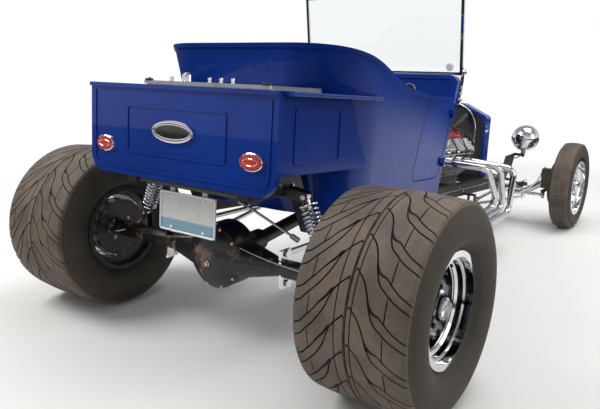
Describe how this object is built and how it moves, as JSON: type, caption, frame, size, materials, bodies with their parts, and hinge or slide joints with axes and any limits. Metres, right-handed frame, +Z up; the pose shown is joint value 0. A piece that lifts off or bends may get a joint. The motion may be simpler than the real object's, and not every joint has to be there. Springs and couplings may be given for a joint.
{
  "type": "street rod roadster",
  "caption": "Open two-seat street rod with a short pickup bed, open V engine, chrome side pipes, narrow steered front wheels, very wide rear tyres and an opening door.",
  "frame": {"origin": "on the floor under the middle of the vehicle's box", "axes": "+X towards the nose, +Y to the vehicle's left, +Z up"},
  "size_m": [3.5729, 2.1664, 1.5481],
  "materials": {
    "body_paint": "deep blue gloss",
    "chassis_black": "satin black",
    "upholstery": "soft grain",
    "chrome": "polished",
    "polished_aluminium": "polished",
    "engine_cast": "painted casting",
    "brake_cast": "dark",
    "core_black": "black finned",
    "coil_steel": "gloss",
    "clear_glass": "clear",
    "red_lens": "clear red",
    "plate_white": "blank",
    "tyre_rubber": "worn",
    "wheel_rim_black": "satin"
  },
  "bodies": {
    "chassis": {"bed": "body_paint", "bed_tank": "polished_aluminium", "body_tub": "body_paint", "coil_over_left": "coil_steel", "coil_over_right": "coil_steel", "cowl": "body_paint", "crossmembers": "chassis_black", "dashboard": "body_paint", "driveshaft": "chassis_black", "engine_block": "engine_cast", "floor_pan": "chassis_black", "frame_rail_left": "chassis_black", "frame_rail_right": "chassis_black", "front_axle": "chrome", "front_spring": "brake_cast", "gearbox": "engine_cast", "header_left": "chrome", "header_right": "chrome", "headlamp_left": "chrome", "headlamp_lenses": "clear_glass", "headlamp_right": "chrome", "intake": "polished_aluminium", "licence_plate": "plate_white", "radiator_core": "core_black", "radiator_shell": "body_paint", "radius_rods": "chrome", "rear_axle": "chassis_black", "rear_links": "chassis_black", "seat_back": "upholstery", "seat_cushion": "upholstery", "seat_riser": "chassis_black", "steering_column": "chrome", "tail_lamps": "red_lens", "tailgate": "body_paint", "valve_covers": "chrome", "windscreen_frame": "chrome", "windscreen_glass": "clear_glass"},
    "door": {"door_right": "body_paint"},
    "steering_wheel": {"steering_wheel": "wheel_rim_black"},
    "knuckle_left": {"knuckle_left": "brake_cast"},
    "knuckle_right": {"knuckle_right": "brake_cast"},
    "tie_rod": {"tie_rod": "chrome"},
    "front_wheel_left": {"front_wheel_left": "polished_aluminium", "front_tyre_left": "tyre_rubber"},
    "front_wheel_right": {"front_wheel_right": "polished_aluminium", "front_tyre_right": "tyre_rubber"},
    "rear_wheel_left": {"rear_wheel_left": "polished_aluminium", "rear_tyre_left": "tyre_rubber"},
    "rear_wheel_right": {"rear_wheel_right": "polished_aluminium", "rear_tyre_right": "tyre_rubber"}
  },
  "joints": [
    {"name": "door_hinge", "type": "hinge", "parent": "chassis", "child": "door", "pos_m": [-0.16332, -0.44417, 0.66371], "axis": [0.0779, -0.1229, 0.9894], "range_deg": [0, 65]},
    {"name": "steer_right", "type": "hinge", "parent": "chassis", "child": "knuckle_right", "pos_m": [1.4785, -0.575, 0.308], "axis": [0, 0, 1], "range_deg": [-30, 30]},
    {"name": "steer_left", "type": "hinge", "parent": "chassis", "child": "knuckle_left", "pos_m": [1.4785, 0.575, 0.308], "axis": [0, 0, 1], "range_deg": [-31, 31]},
    {"name": "tie_rod_turn", "type": "hinge", "parent": "knuckle_right", "child": "tie_rod", "pos_m": [1.3635, -0.575, 0.237], "axis": [0, 0, 1], "range_deg": [-31, 31]},
    {"name": "steering_wheel_turn", "type": "hinge", "parent": "chassis", "child": "steering_wheel", "pos_m": [-0.44386, 0.235, 1.08201], "axis": [-0.8634, 0, 0.5045], "range_deg": [-365, 365]},
    {"name": "front_wheel_left_spin", "type": "hinge", "parent": "knuckle_left", "child": "front_wheel_left", "pos_m": [1.4785, 0.728, 0.308], "axis": [0, 1, 0], "continuous": true},
    {"name": "rear_wheel_left_spin", "type": "hinge", "parent": "chassis", "child": "rear_wheel_left", "pos_m": [-1.4015, 0.851, 0.385], "axis": [0, 1, 0], "continuous": true},
    {"name": "front_wheel_right_spin", "type": "hinge", "parent": "knuckle_right", "child": "front_wheel_right", "pos_m": [1.4785, -0.728, 0.308], "axis": [0, 1, 0], "continuous": true},
    {"name": "rear_wheel_right_spin", "type": "hinge", "parent": "chassis", "child": "rear_wheel_right", "pos_m": [-1.4015, -0.851, 0.385], "axis": [0, 1, 0], "continuous": true}
  ],
  "couplings": [
    {"joint": "steer_left", "follows": "steer_right", "ratio": 1},
    {"joint": "tie_rod_turn", "follows": "steer_right", "ratio": -1},
    {"joint": "steering_wheel_turn", "follows": "steer_right", "ratio": 12}
  ]
}
